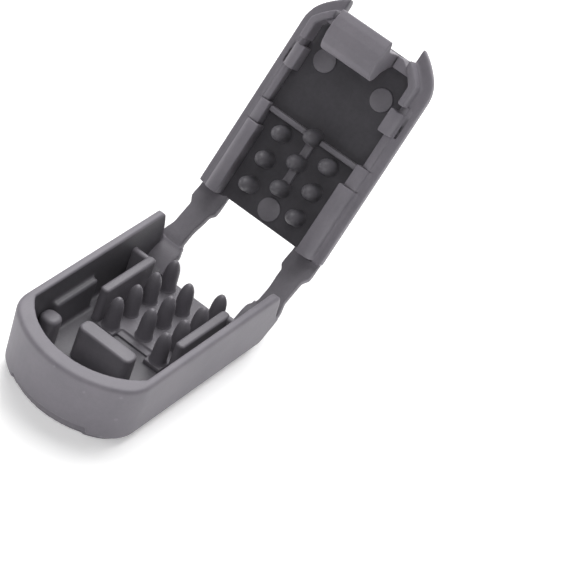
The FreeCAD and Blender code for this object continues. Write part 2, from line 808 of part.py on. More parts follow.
def lid_tray():
    """Shallow drafted tray with a round far end, notched behind the latch, with round marks."""
    body = new_body("lid_tray")
    outer = new_sketch(body, "tray_outline", ORIGIN_XY, "-dims.lid_rim")
    guess = (14.86, 8.8, 7.5, 0.0)
    shell_outline(
        outer, 1, "dims.lid_centre", "dims.end_radius",
        "dims.shell_width / 2", "0", guess, "corner_round",
    )
    block = add_pad(body, "tray_block", outer, "dims.lid_under - dims.lid_rim", downwards=True)
    bind(block, TaperAngle="-dims.draft")
    low = -DIMENSIONS["lid_under"]

    def outer_rim(edge):
        bounds = edge.BoundBox
        return edges_at_height(low)(edge) and bounds.XMax > 1.0

    round_edges(body, "tray_round", "dims.edge_round", outer_rim)
    doc.recompute()
    inner = new_sketch(body, "tray_inside", ORIGIN_XY, "-dims.lid_rim")
    inner_guess = (14.86, 7.6, 6.3, -1.0)
    shell_outline(inner, 1, "dims.lid_centre", LID_RADIUS, LID_HALF, "-1", inner_guess)
    add_pocket(body, "tray_hollow", inner, "dims.lid_floor - dims.lid_rim")
    gap = new_sketch(body, "gap_outline", ORIGIN_XY)
    rectangle(gap, "dims.lid_edge", BEYOND, "-dims.lid_gap_half", "dims.lid_gap_half")
    add_pocket(body, "latch_gap", gap)
    marks = new_sketch(body, "mark_outlines", ORIGIN_XY, "-dims.lid_floor")
    centres = (("dims.mark_near", "0"), ("dims.mark_far", "dims.mark_y"), ("dims.mark_far", "-dims.mark_y"))
    for index, (x, y) in enumerate(centres):
        start = FreeCAD.Vector(5 + 4 * index, 3 * index - 3, 0)
        sketch_circle = Part.Circle(start, FreeCAD.Vector(0, 0, 1), 1.0)
        marks.addGeometry(sketch_circle)
        pin_point(marks, index, 3, x, y)
        size = marks.addConstraint(Sketcher.Constraint("Radius", index, 1.0))
        marks.setExpression(f"Constraints[{size}]", "dims.mark_radius")
    add_pocket(body, "round_marks", marks, "dims.mark_deep")
    finish(body, "lid_tray", place_lid)


def lid_lips():
    """Blocks along both sides that nest inside the base's rim when the lid is shut."""
    for label, side in SIDES:
        for lip in LIPS:
            name = f"{lip}_{label}"
            solid = side_box(
                f"{name}_block", side, f"dims.{lip}_start", f"dims.{lip}_end",
                f"dims.{lip}_inner", LID_HALF, "-dims.lid_floor", f"dims.{lip}_top",
            )
            solid = soften(f"{name}_solid", solid, "lip_round", long_edges_at_top(solid))
            finish(solid, name, place_lid)


def lid_horns():
    """Curved end lips on each side of the latch."""
    for label, side in SIDES:
        name = f"end_lip_{label}"
        block = side_box(
            f"{name}_block", side, "dims.horn_start", BEYOND,
            "dims.lid_gap_half", LID_HALF, "-dims.lid_floor", "dims.horn_top",
        )
        limit = cylinder(f"{name}_limit", LID_RADIUS, "dims.lid_centre", "0", f"-{BEYOND}", BEYOND)
        core = cylinder(f"{name}_core", HORN_RADIUS, "dims.lid_centre", "0", f"-{BEYOND}", BEYOND)
        sides = box(f"{name}_sides", "0", BEYOND, f"-{HORN_HALF}", HORN_HALF, f"-{BEYOND}", BEYOND)
        inside = boolean("Common", f"{name}_inside", core, sides)
        curved = boolean("Common", f"{name}_curved", block, limit)
        finish(boolean("Cut", f"{name}_solid", curved, inside), name, place_lid)


def end_walls():
    """Low end wall on each side of the tongue."""
    for label, side in SIDES:
        name = f"end_wall_{label}"
        block = side_box(
            f"{name}_block", side, "dims.lid_edge - dims.end_wall", "dims.lid_edge",
            "dims.tongue_half + dims.tongue_gap", LID_HALF, "-dims.lid_floor", "dims.end_wall_top",
        )
        limit = cylinder(f"{name}_limit", HORN_RADIUS, "dims.lid_centre", "0", f"-{BEYOND}", BEYOND)
        finish(boolean("Common", f"{name}_solid", block, limit), name, place_lid)


def lid_walls():
    """Cross wall behind the teeth and the low rib between them, both cut round the middle teeth."""
    floor = "-dims.lid_floor"
    spaces = []
    for index in range(3):
        x = f"dims.lid_first + {index + 0.5} * dims.tooth_pitch"
        spaces.append(cylinder(f"tooth_space_{index + 1}", "dims.lid_root", x, "0", "-dims.lid_under", "0"))
    wall_to = "dims.cross_near + dims.cross_thick"
    for label, side in SIDES:
        name = f"cross_wall_{label}"
        wall = side_box(
            f"{name}_block", side, "dims.cross_near", wall_to,
            "0", "dims.cross_half", floor, "-dims.cross_top",
        )
        finish(boolean("Cut", f"{name}_solid", wall, spaces[2]), name, place_lid)
    for index in range(2):
        name = f"centre_rib_{index + 1}"
        rib_from = f"dims.lid_first + {index + 0.5} * dims.tooth_pitch"
        rib_to = f"{rib_from} + dims.tooth_pitch"
        top = f"{floor} + dims.rib_rise"
        rib = box(f"{name}_block", rib_from, rib_to, "-dims.rib_half", "dims.rib_half", floor, top)
        gaps = union(f"{name}_gaps", [spaces[index], spaces[index + 1]])
        finish(boolean("Cut", f"{name}_solid", rib, gaps), name, place_lid)


def lid_teeth():
    """Three columns of three teeth; the middle column is shifted by half a pitch."""
    number = 1
    for column, shift in ((1, 0.0), (0, 0.5), (-1, 0.0)):
        for index in range(3):
            x = f"dims.lid_first + {index + shift} * dims.tooth_pitch"
            y = f"{column} * dims.column_gap"
            name = f"lid_tooth_{number:02d}"
            sizes = ("dims.lid_tooth", "dims.lid_root", "dims.lid_tip")
            tooth(name, name, place_lid, x, y, "-dims.lid_floor", *sizes)
            number += 1


def lid_strap_roots():
    """Stubs that carry the straps from the second fold line into the lid's floor edge."""
    outline = [
        ("0", "-dims.lid_under"),
        ("0", "-dims.lid_floor"),
        at_lid_fold("dims.lid_root_long", HALF_THICK),
        at_lid_fold(FOLD_END, HALF_THICK),
        at_lid_fold(FOLD_END, f"-{HALF_THICK}"),
        at_lid_fold("dims.lid_root_long", f"-{HALF_THICK}"),
    ]
    for label, side in SIDES:
        name = f"lid_strap_root_{label}"
        prism(f"{name}_body", name, place_lid, outline, "dims.strap_inner", "dims.strap_outer", side)


def latch_tongue():
    """Hooked tongue with a round root; its rear edge snaps under the catch of the base."""
    body = new_body("tongue_web")
    sketch = new_sketch(body, "tongue_outline", ORIGIN_XZ)
    outline = [("dims.lid_edge", "dims.pivot_z")]
    outline += as_expressions(TONGUE_PROFILE)
    outline.append(("dims.lid_edge - dims.end_wall", "dims.pivot_z"))
    polygon(sketch, outline)
    add_pad(body, "tongue_block", sketch, "2 * dims.tongue_half", symmetric=True)
    root = doc.addObject("Part::Cylinder", "tongue_root")
    turn = FreeCAD.Rotation(FreeCAD.Vector(1, 0, 0), 90)
    root.Placement = FreeCAD.Placement(FreeCAD.Vector(0, 0, 0), turn)
    bind(
        root,
        Radius="dims.pivot_radius",
        Height="2 * dims.tongue_half",
        Placement__Base__x="dims.pivot_x",
        Placement__Base__y="dims.tongue_half",
        Placement__Base__z="dims.pivot_z",
    )
    finish(boolean("Fuse", "tongue_solid", body, root), "latch_tongue", place_lid)


# ---------------------------------------------------------------- build and export

base_shell()
grip_dome()
tooth_platform()
base_teeth()
base_inside()
latch_backstop()
latch_catch()
strap_roots()
strap_links()
lid_tray()
lid_lips()
lid_horns()
end_walls()
lid_walls()
lid_teeth()
lid_strap_roots()
latch_tongue()
doc.recompute()

for thing in doc.Objects:
    if "Invalid" in thing.State or "Error" in thing.State:
        raise RuntimeError(f"{thing.Label} failed: {thing.State}")
for label, thing in finished.items():
    if thing.Shape.isNull() or not thing.Shape.isValid():
        raise RuntimeError(f"{label} has a bad shape")
for label, thing in finished.items():
    thing.Shape.exportStep(f"parts/{label}.step")
print(f"{len(finished)} sub-parts written")
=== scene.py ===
# %% [markdown]
# # A hinged cord lock in moulded nylon
# Two small shells grip a pair of elastic cords between rows of blunt teeth. One shot of grey
# nylon makes all of it: the base tub, the lid tray, the two thin straps that fold between them
# and the hooked latch tongue. The CAD model fixes every size and place. Here each of its
# features becomes a moulded piece, with the soft edges, flared roots and skin of real nylon.

import json
import math

import bmesh
import bpy
from mathutils import Matrix, Vector


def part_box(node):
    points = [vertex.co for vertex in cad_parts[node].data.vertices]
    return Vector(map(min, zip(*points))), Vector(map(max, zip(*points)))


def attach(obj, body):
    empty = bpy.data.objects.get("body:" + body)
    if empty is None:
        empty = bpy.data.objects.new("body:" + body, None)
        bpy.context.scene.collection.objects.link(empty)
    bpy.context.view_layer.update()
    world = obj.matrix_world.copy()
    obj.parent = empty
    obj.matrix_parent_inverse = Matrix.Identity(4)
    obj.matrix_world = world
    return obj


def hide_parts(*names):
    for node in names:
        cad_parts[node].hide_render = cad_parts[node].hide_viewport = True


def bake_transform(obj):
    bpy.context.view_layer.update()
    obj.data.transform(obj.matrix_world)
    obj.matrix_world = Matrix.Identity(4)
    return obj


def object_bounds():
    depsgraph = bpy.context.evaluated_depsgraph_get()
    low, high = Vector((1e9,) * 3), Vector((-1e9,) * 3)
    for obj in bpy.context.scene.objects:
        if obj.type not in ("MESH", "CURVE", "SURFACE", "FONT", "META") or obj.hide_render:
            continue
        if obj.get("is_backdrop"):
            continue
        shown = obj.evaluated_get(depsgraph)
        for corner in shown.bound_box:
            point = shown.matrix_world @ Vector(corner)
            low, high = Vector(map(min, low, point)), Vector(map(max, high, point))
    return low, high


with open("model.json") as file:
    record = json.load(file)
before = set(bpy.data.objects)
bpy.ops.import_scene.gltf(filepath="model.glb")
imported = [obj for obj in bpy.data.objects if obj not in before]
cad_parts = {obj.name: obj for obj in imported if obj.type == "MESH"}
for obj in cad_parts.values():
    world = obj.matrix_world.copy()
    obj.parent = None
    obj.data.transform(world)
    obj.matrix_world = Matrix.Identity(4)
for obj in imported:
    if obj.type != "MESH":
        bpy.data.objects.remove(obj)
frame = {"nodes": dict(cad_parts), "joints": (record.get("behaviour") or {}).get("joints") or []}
cad_low, cad_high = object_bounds()

MM = 0.001


def mm(*values):
    """A point given in millimetres, in metres."""
    return Vector(values) * MM


# %% [markdown]
# ## The two moulding frames
# The straps let the lid stand open, so the lid's walls lean while the base's stand upright.
# It is easier to shape a lid feature as if the lid lay flat and then tilt it. The lid's frame
# starts at the hinge end of its long lip, level with the lip tops, with x along the lid and z out
# of the tray. The first and third of the lid's teeth give its tilt, because the teeth stand in one
# line.


# %% Work out the lid's frame from the CAD
def node_centre(name):
    low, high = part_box(name)
    return (low + high) / 2


def node_points(name):
    return [vertex.co.copy() for vertex in frame["nodes"][name].data.vertices]


lid_along = (node_centre("lid_tooth_03") - node_centre("lid_tooth_01")).normalized()
lid_up = Vector((-lid_along.z, 0, lid_along.x))
lid_axes = Matrix((lid_along, Vector((0, 1, 0)), lid_up)).transposed()


def lid_offset():
    """Where the lid's own origin lies: the hinge end of the long lip, level with the lip tops."""
    points = [lid_axes.inverted() @ point for point in node_points("long_lip_left")]
    start = min(point.x for point in points)
    top = max(point.z for point in points)
    return lid_axes @ Vector((start, 0, top))


LID = Matrix.Translation(lid_offset()) @ lid_axes.to_4x4()
print(f"the lid leans {math.degrees(math.atan2(lid_along.z, lid_along.x)):.1f} degrees")

# %% [markdown]
# ## Moulded nylon
# Nylon comes out of a spark-eroded mould with a fine, even matte grain of about a tenth of a
# millimetre. The grey is a little uneven where the melt flowed, thin edges get a painted highlight
# for the light that gets into them, and handling polishes the high spots. IOR is 1.53, as for most
# nylons.
# Four noise textures give this: broad flow marks, fine speckle, grain and shallow sink marks.
# Cores are polished, so that the part slips off them, and so the inside is glossier. The inside
# greys are also darker, which is painted shade for the shadow deep in the tub and the lid's tray.


# %% Colour and node helpers
def srgb(text):
    """An sRGB hex colour as linear values, the only form a shader takes."""
    values = []
    for start in (0, 2, 4):
        channel = int(text[start : start + 2], 16) / 255
        values.append(channel / 12.92 if channel <= 0.04045 else ((channel + 0.055) / 1.055) ** 2.4)
    return (*values, 1.0)


def add_node(tree, kind, links=None, **settings):
    """Adds one node. Links go from an output socket to the named or numbered input."""
    node = tree.nodes.new(kind)
    for name, value in settings.items():
        if name.startswith("in_"):
            node.inputs[name[3:].replace("_", " ")].default_value = value
        else:
            setattr(node, name, value)
    for socket, output in (links or {}).items():
        tree.links.new(output, node.inputs[socket])
    return node


FLOW_SIZE = 5.0
SPECKLE_SIZE = 0.35
GRAIN_SIZE = 0.11
SINK_SIZE = 1.6
GRAIN_DEPTH = 0.012
MOTTLE_RANGE = (0.45, 1.05)
SHARP_EDGE_RANGE = (0.54, 0.66)
SINK_SHARE = 1.5
POLISH_SPREAD = 0.07
NYLON_IOR = 1.53
NYLON_SPECULAR = 0.35


def moulded_nylon(name, dark, light, edge, rough=0.52, paler=0.35):
    """Matte moulded nylon: uneven grey, paler edges, spark-eroded grain in the surface.

    The sizes and depth above are in millimetres. Rough is the mean roughness, and paler is how
    far the edge colour, a painted highlight, shows on sharp edges.
    """
    material = bpy.data.materials.new(name)
    material.use_nodes = True
    tree = material.node_tree
    tree.nodes.clear()
    place = add_node(tree, "ShaderNodeTexCoord").outputs["Object"]
    per_mm = 1 / MM

    def noise(size, detail, roughness=0.5):
        return add_node(
            tree,
            "ShaderNodeTexNoise",
            {"Vector": place},
            in_Scale=per_mm / size,
            in_Detail=detail,
            in_Roughness=roughness,
        )

    flow = noise(FLOW_SIZE, 3.0, 0.6)
    speckle = noise(SPECKLE_SIZE, 2.0)
    mottle = add_node(
        tree,
        "ShaderNodeMath",
        {0: flow.outputs["Fac"], 1: speckle.outputs["Fac"]},
        operation="MULTIPLY_ADD",
    )
    tree.links.new(flow.outputs["Fac"], mottle.inputs[2])
    spread = add_node(tree, "ShaderNodeMapRange", {"Value": mottle.outputs[0]})
    spread.inputs["From Min"].default_value = MOTTLE_RANGE[0]
    spread.inputs["From Max"].default_value = MOTTLE_RANGE[1]
    body_grey = add_node(tree, "ShaderNodeMix", {"Factor": spread.outputs[0]}, data_type="RGBA")
    body_grey.inputs[6].default_value = srgb(dark)
    body_grey.inputs[7].default_value = srgb(light)
    # Sharp edges, found by pointiness, are painted paler: a painted highlight.
    shape = add_node(tree, "ShaderNodeNewGeometry")
    ridge = add_node(tree, "ShaderNodeMapRange", {"Value": shape.outputs["Pointiness"]})
    ridge.inputs["From Min"].default_value = SHARP_EDGE_RANGE[0]
    ridge.inputs["From Max"].default_value = SHARP_EDGE_RANGE[1]
    ridge.inputs["To Max"].default_value = paler
    grey = add_node(
        tree,
        "ShaderNodeMix",
        {"Factor": ridge.outputs[0], 6: body_grey.outputs[2]},
        data_type="RGBA",
    )
    grey.inputs[7].default_value = srgb(edge)
    pits = noise(GRAIN_SIZE, 2.5, 0.65)
    waves = noise(SINK_SIZE, 1.0)
    height = add_node(
        tree,
        "ShaderNodeMath",
        {0: waves.outputs["Fac"], 2: pits.outputs["Fac"]},
        operation="MULTIPLY_ADD",
    )
    height.inputs[1].default_value = SINK_SHARE
    relief = add_node(
        tree,
        "ShaderNodeBump",
        {"Height": height.outputs[0]},
        in_Strength=1.0,
        in_Distance=GRAIN_DEPTH * MM,
    )
    polish = add_node(tree, "ShaderNodeMapRange", {"Value": speckle.outputs["Fac"]})
    polish.inputs["To Min"].default_value = rough - POLISH_SPREAD
    polish.inputs["To Max"].default_value = rough + POLISH_SPREAD
    shader = add_node(
        tree,
        "ShaderNodeBsdfPrincipled",
        {
            "Base Color": grey.outputs[2],
            "Roughness": polish.outputs[0],
            "Normal": relief.outputs["Normal"],
        },
        in_IOR=NYLON_IOR,
        in_Specular_IOR_Level=NYLON_SPECULAR,
    )
    add_node(tree, "ShaderNodeOutputMaterial", {"Surface": shader.outputs[0]})
    return material


OUTSIDE = moulded_nylon("moulded_nylon_outside", "76737a", "807c83", "9b989e")
# These three greys are darker than the outside one: painted shade for the shadow inside the tub and
# the lid's tray.
INSIDE_PAINTED_SHADE = moulded_nylon("moulded_nylon_inside_painted_shade", "6e6b71", "78757b", "918d94", rough=0.45)
TUB_PAINTED_SHADE = moulded_nylon("moulded_nylon_tub_painted_shade", "5c5a5f", "666469", "747277", rough=0.42)
LID_PAINTED_SHADE = moulded_nylon("moulded_nylon_lid_painted_shade", "434146", "4d4b50", "5b595e", rough=0.38)
STRAP_SKIN = moulded_nylon("moulded_nylon_strap", "6c696f", "77747a", "77747a", paler=0.0)

# %% [markdown]
# ## Stage, light and camera
# A small product is photographed on a sheet of white acrylic lit from below, which takes the
# shadows away, with one big soft box above and smaller ones low at the sides. Little light
# comes from beside the lens, so the walls are pale and the deep trays stay dark. The floor lies
# under the grips of the base.

# %% Floor
floor_mesh = bpy.data.meshes.new("floor")
shape = bmesh.new()
bmesh.ops.create_grid(shape, x_segments=1, y_segments=1, size=2.0)
shape.to_mesh(floor_mesh)
shape.free()
floor = bpy.data.objects.new("floor", floor_mesh)
bpy.context.scene.collection.objects.link(floor)
floor.location.z = cad_low.z
acrylic = bpy.data.materials.new("back_lit_white_acrylic")
acrylic.use_nodes = True
acrylic_shader = acrylic.node_tree.nodes["Principled BSDF"]
acrylic_shader.inputs["Base Color"].default_value = srgb("fcfcfc")
acrylic_shader.inputs["Roughness"].default_value = 0.9
acrylic_shader.inputs["Emission Color"].default_value = srgb("ffffff")
acrylic_shader.inputs["Emission Strength"].default_value = 0.30
floor.data.materials.append(acrylic)
floor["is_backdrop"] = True

# %% Lights
centre = (cad_low + cad_high) / 2


def soft_box(name, direction, distance, size, power):
    """A square soft box that looks at the middle of the object."""
    lamp = bpy.data.lights.new(name, "AREA")
    lamp.shape = "SQUARE"
    lamp.size = size
    lamp.energy = power
    light = bpy.data.objects.new(name, lamp)
    light.location = centre + Vector(direction).normalized() * distance
    light.rotation_euler = (centre - light.location).to_track_quat("-Z", "Y").to_euler()
    bpy.context.scene.collection.objects.link(light)


soft_box("overhead_soft_box", (0.50, 0.10, 1.0), 1.3, 1.1, 18.0)
soft_box("left_soft_box", (-0.6, 1.0, 0.15), 0.40, 0.25, 0.16)
soft_box("right_soft_box", (-1.0, -0.8, 0.12), 0.40, 0.25, 0.04)
soft_box("front_soft_box", (-1.0, -0.2, 1.1), 0.90, 0.50, 1.7)
soft_box("backdrop_soft_box", (1.0, 0.45, 0.6), 0.35, 0.30, 0.5)
world = bpy.data.worlds.new("studio_room")
bpy.context.scene.world = world
world.use_nodes = True
world.node_tree.nodes["Background"].inputs["Color"].default_value = srgb("ffffff")
world.node_tree.nodes["Background"].inputs["Strength"].default_value = 0.16
bpy.context.scene.view_settings.view_transform = "Standard"

# %% Camera
lens = bpy.data.cameras.new("camera")
camera = bpy.data.objects.new("camera", lens)
bpy.context.scene.collection.objects.link(camera)
bpy.context.scene.camera = camera
lens.sensor_width = 36
lens.lens = 182.53
lens.shift_x = -0.0031
lens.shift_y = 0.0137
lens.clip_start = 0.01
lens.clip_end = 10
CAMERA_TURN = (48.9204, -16.3927, -53.3631)
camera.location = mm(-184.29, -89.37, 178.24)
camera.rotation_euler = [math.radians(angle) for angle in CAMERA_TURN]
print(f"camera {(camera.location - centre).length / MM:.0f} mm from the middle of the lock")

# %% [markdown]
# ## Making a moulded piece
# The CAD solids are sharp and separate. A mould is cut with a round tool, and plastic shrinks
# away from its corners, so every edge of the real lock is soft. Two ways give that softness.
# A plain block or peg is a small bmesh shape with bevelled edges. A shell with many meeting
# walls is a copy of its CAD solids, remeshed into one skin of small cells and then relaxed,
# which rounds the outer edges and fills the inner corners as the steel of the mould would.
# The helpers below make both kinds, place them and hand them to their body.


# %% Helpers for pieces
def link_piece(name, mesh, material):
    piece = bpy.data.objects.new(name, mesh)
    bpy.context.scene.collection.objects.link(piece)
    mesh.materials.clear()
    mesh.materials.append(material)
    return piece


def smooth_faces(mesh, sharp_angle):
    """Smooth shading, broken only where faces meet at more than the sharp angle."""
    mesh.polygons.foreach_set("use_smooth", [True] * len(mesh.polygons))
    mesh.set_sharp_from_angle(angle=math.radians(sharp_angle))


def from_shape(name, shape, place, material, sharp_angle=50):
    """Turns a bmesh drawn in millimetres in a moulding frame into a piece at its place."""
    bmesh.ops.recalc_face_normals(shape, faces=shape.faces[:])
    mesh = bpy.data.meshes.new(name)
    shape.to_mesh(mesh)
    shape.free()
    mesh.transform(place @ Matrix.Scale(MM, 4))
    smooth_faces(mesh, sharp_angle)
    return link_piece(name, mesh, material)


def bake_modifiers(piece):
    """Applies a piece's modifiers, so that its mesh is final."""
    graph = bpy.context.evaluated_depsgraph_get()
    mesh = bpy.data.meshes.new_from_object(piece.evaluated_get(graph))
    old = piece.data
    piece.modifiers.clear()
    piece.data = mesh
    bpy.data.meshes.remove(old)
    mesh.name = piece.name
    return piece


def hand_over(piece, body, *nodes):
    """The piece rides its body and stands for its CAD nodes."""
    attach(piece, body)
    if nodes:
        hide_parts(*nodes)
    return piece


MERGE_GAP = 0.0005
NEVER_SHARP = 180


def joined_copy(nodes):
    """One bmesh with copies of several CAD solids, their loose triangles merged."""
    shape = bmesh.new()
    for node in nodes:
        shape.from_mesh(frame["nodes"][node].data)
    bmesh.ops.remove_doubles(shape, verts=shape.verts, dist=MERGE_GAP * MM)
    return shape


def relaxed_skin(name, nodes, material, cell, passes):
    """One soft-edged skin around several CAD solids. Cell is its mesh size in millimetres."""
    shape = joined_copy(nodes)
    mesh = bpy.data.meshes.new(name)
    shape.to_mesh(mesh)
    shape.free()
    piece = link_piece(name, mesh, material)
    cells = piece.modifiers.new("cells", "REMESH")
    cells.mode = "VOXEL"
    cells.voxel_size = cell * MM
    relax = piece.modifiers.new("relax", "SMOOTH")
    relax.factor = 0.5
    relax.iterations = passes
    bake_modifiers(piece)
    smooth_faces(piece.data, NEVER_SHARP)
    print(f"{name}: {len(piece.data.polygons)} faces")
    return piece


def local_box(node, place):
    """A CAD node's lowest and highest corner in a moulding frame, in millimetres."""
    back = place.inverted()
    points = [back @ point for point in node_points(node)]
    low = Vector([min(point[axis] for point in points) for axis in range(3)]) / MM
    high = Vector([max(point[axis] for point in points) for axis in range(3)]) / MM
    return low, high


def paint_inner_shade(piece, place, inside, material):
    """Gives the faces that the inside test picks a second, darker material: painted shade."""
    back = place.inverted()
    piece.data.materials.append(material)
    for face in piece.data.polygons:
        if inside(back @ face.center / MM, back.to_3x3() @ face.normal):
            face.material_index = 1


UPRIGHT = Matrix.Identity(4)
PLACES = {"base": UPRIGHT, "lid": LID, "latch": LID}
SIDES = (("left", 1), ("right", -1))

# %% [markdown]
# ## The base tub
# The tub is the biggest part of the moulding: a thin wall with 2.5 degrees of draft, a round
# far end and two thick corners from which the straps leave. The side ledges and the latch
# catch grow out of its walls. One relaxed skin joins them, so the corners fill as in a mould.
# The tub's inside, moulded by a polished core, gets a darker grey: painted shade for the shadow
# deep in the tub. The limits of this shaded region are in the base's own frame, whose origin is at
# the hinge end of the rim.

# %% Tub
tub_nodes = ["base_shell", "latch_catch"]
for side_name, _ in SIDES:
    tub_nodes += [f"strap_root_{side_name}", f"side_ledge_{side_name}"]
tub = relaxed_skin("base_tub", tub_nodes, OUTSIDE, cell=0.14, passes=7)
HINGE_X = 9.0
RIM_Z = 7.2
END_MIDDLE = Vector((-15.2, 0, 0))
SHADE_HALF = 6.72
SHADE_RADIUS = 8.05
SHADE_TOP = -0.25
SHADE_BOTTOM = -6.35
SHADE_HINGE_END = 0.5


def in_tub(point, _normal):
    """True for faces inside the tub, a little below its rim."""
    if not (SHADE_BOTTOM < point.z < SHADE_TOP and abs(point.y) < SHADE_HALF):
        return False
    outward = Vector((min(point.x, END_MIDDLE.x), point.y, 0)) - END_MIDDLE
    return outward.length < SHADE_RADIUS and point.x < SHADE_HINGE_END


# The faces inside the tub get the darker grey: painted shade.
paint_inner_shade(tub, Matrix.Translation(mm(HINGE_X, 0, RIM_Z)), in_tub, TUB_PAINTED_SHADE)
hand_over(tub, "base", *tub_nodes)

# %% [markdown]
# ## Ribbed grip under the base
# A shallow dome with five finger grooves and a flat recess behind the latch window. Its small
# steps need a finer cell than the tub.

# %% Grip dome
dome = relaxed_skin("ribbed_grip", ["grip_dome"], OUTSIDE, cell=0.11, passes=4)
hand_over(dome, "base", "grip_dome")

# %% [markdown]
# ## Bed of the teeth
# A low step in the floor carries the teeth. Its edges are crisp in the real lock, so its skin
# has the smallest cells of the base and is relaxed only a little.

# %% Tooth bed
bed = relaxed_skin("tooth_bed", ["tooth_platform"], INSIDE_PAINTED_SHADE, cell=0.09, passes=3)
hand_over(bed, "base", "tooth_platform")

# %% [markdown]
# ## Bullet teeth
# Each tooth is a blunt bullet with a flared foot. It is turned, not extruded: a short profile
# of a few points is spun round its axis, and a subdivision surface rounds the steps away.
# Height and foot come from the tooth's CAD box, read in the frame of the shell it stands on.


# %% Teeth
SPIN_STEPS = 20
TIP_SHARE = 0.60


def bullet_shape(height, foot, tip, flare):
    """A bullet round the z axis: radius and height of its profile, from foot to tip, spun."""
    outline = (
        (foot + flare, -0.12),
        (foot + flare * 0.8, 0.03),
        (foot + flare * 0.2, 0.12),
        (foot * 0.98, 0.32),
        (foot * 0.95, height * 0.36),
        (foot * 0.90, height * 0.60),
        (tip + 0.14, height * 0.78),
        (tip * 0.88, height * 0.91),
        (tip * 0.48, height * 0.985),
        (0.0, height),
    )
    shape = bmesh.new()
    points = [shape.verts.new((radius, 0, level)) for radius, level in outline]
    edges = [shape.edges.new(pair) for pair in zip(points, points[1:])]
    bmesh.ops.spin(
        shape,
        geom=points + edges,
        axis=(0, 0, 1),
        cent=(0, 0, 0),
        angle=2 * math.pi,
        steps=SPIN_STEPS,
        use_merge=True,
    )
    bmesh.ops.remove_doubles(shape, verts=shape.verts, dist=0.001)
    rim = [edge for edge in shape.edges if edge.is_boundary]
    bmesh.ops.holes_fill(shape, edges=rim)
    return shape


def add_tooth(node, body, name, flare, slim=1.0):
    """A tooth in place of its CAD node. Slim scales its foot, flare widens it at the floor."""
    low, high = local_box(node, PLACES[body])
    height = high.z - low.z
    foot = (high.x - low.x) / 2 * slim
    shape = bullet_shape(height, foot, foot * TIP_SHARE, flare)
    centre_of_foot = Vector(((low.x + high.x) / 2, (low.y + high.y) / 2, low.z))
    bmesh.ops.translate(shape, vec=centre_of_foot, verts=shape.verts)
    # Both greys are darker than the outside: painted shade, darker still for the lid's teeth in the
    # tray.
    material = TUB_PAINTED_SHADE if body == "lid" else INSIDE_PAINTED_SHADE
    piece = from_shape(name, shape, PLACES[body], material, sharp_angle=NEVER_SHARP)
    rounding = piece.modifiers.new("rounding", "SUBSURF")
    rounding.levels = rounding.render_levels = 2
    bake_modifiers(piece)
    return hand_over(piece, body, node)


BASE_TEETH = 11
LID_TEETH = 9
for number in range(1, BASE_TEETH + 1):
    add_tooth(f"base_tooth_{number:02d}", "base", f"base_bullet_{number:02d}", 0.14)
for number in range(1, LID_TEETH + 1):
    add_tooth(f"lid_tooth_{number:02d}", "lid", f"lid_bullet_{number:02d}", 0.06, slim=0.9)
print(BASE_TEETH + LID_TEETH, "teeth")

# %% [markdown]
# ## Small walls of the base
# Two cord guides stand beside the teeth, each with a thin return that hooks back to the side
# wall. A rounded stop keeps the cord ends off the latch, and a peg stands in each far corner.
# They are blocks with tapered flanks, as a mould needs, and bevelled edges.


# %% Block builder
FOOT_SINK = 0.3


def soft_block(low, high, edge_round, taper=0.0, segments=4, corner_round=0.0):
    """A block with rounded edges, narrower at the top than at the foot by the taper.

    Its foot is sunk into the floor, so that no gap shows. Its upright edges may have a larger
    round of their own, as a wall with full ends has.
    """
    shape = bmesh.new()
    bmesh.ops.create_cube(shape, size=1.0)
    bmesh.ops.scale(shape, vec=high - low + Vector((0, 0, FOOT_SINK)), verts=shape.verts)
    middle = (low + high) / 2 - Vector((0, 0, FOOT_SINK / 2))
    bmesh.ops.translate(shape, vec=middle, verts=shape.verts)
    top = [vertex for vertex in shape.verts if vertex.co.z > middle.z]
    for vertex in top:
        vertex.co.x -= math.copysign(taper, vertex.co.x - middle.x)
        vertex.co.y -= math.copysign(taper, vertex.co.y - middle.y)
    rounded = shape.edges[:]
    if corner_round:
        upright = []
        for edge in shape.edges:
            if abs(edge.verts[0].co.z - edge.verts[1].co.z) > FOOT_SINK:
                upright.append(edge)
        bmesh.ops.bevel(
            shape,
            geom=upright,
            offset=corner_round,
            segments=2 * segments,
            profile=0.5,
            affect="EDGES",
            material=-1,
        )
        just_below_top = max(vertex.co.z for vertex in shape.verts) - 0.01
        rounded = []
        for edge in shape.edges:
            if min(vertex.co.z for vertex in edge.verts) > just_below_top:
                rounded.append(edge)
    bmesh.ops.bevel(
        shape,
        geom=rounded,
        offset=edge_round,
        segments=segments,
        profile=0.5,
        affect="EDGES",
        material=-1,
    )
    return shape


# %% Guides and their returns
RETURN_REACH = 0.35
RETURN_RISE = 0.35
for side_name, _ in SIDES:
    low, high = local_box(f"cord_rail_{side_name}", UPRIGHT)
    shape = soft_block(low, high, edge_round=0.26, taper=0.02, corner_round=0.42)
    guide = from_shape(f"cord_guide_{side_name}", shape, UPRIGHT, INSIDE_PAINTED_SHADE)
    hand_over(guide, "base", f"cord_rail_{side_name}")
    low, high = local_box(f"rail_return_{side_name}", UPRIGHT)
    low -= Vector((0, RETURN_REACH, 0))
    high += Vector((0, RETURN_REACH, RETURN_RISE))
    shape = soft_block(low, high, edge_round=0.3, corner_round=0.3)
    back = from_shape(f"guide_return_{side_name}", shape, UPRIGHT, INSIDE_PAINTED_SHADE)
    hand_over(back, "base", f"rail_return_{side_name}")
print("2 cord guides with returns")

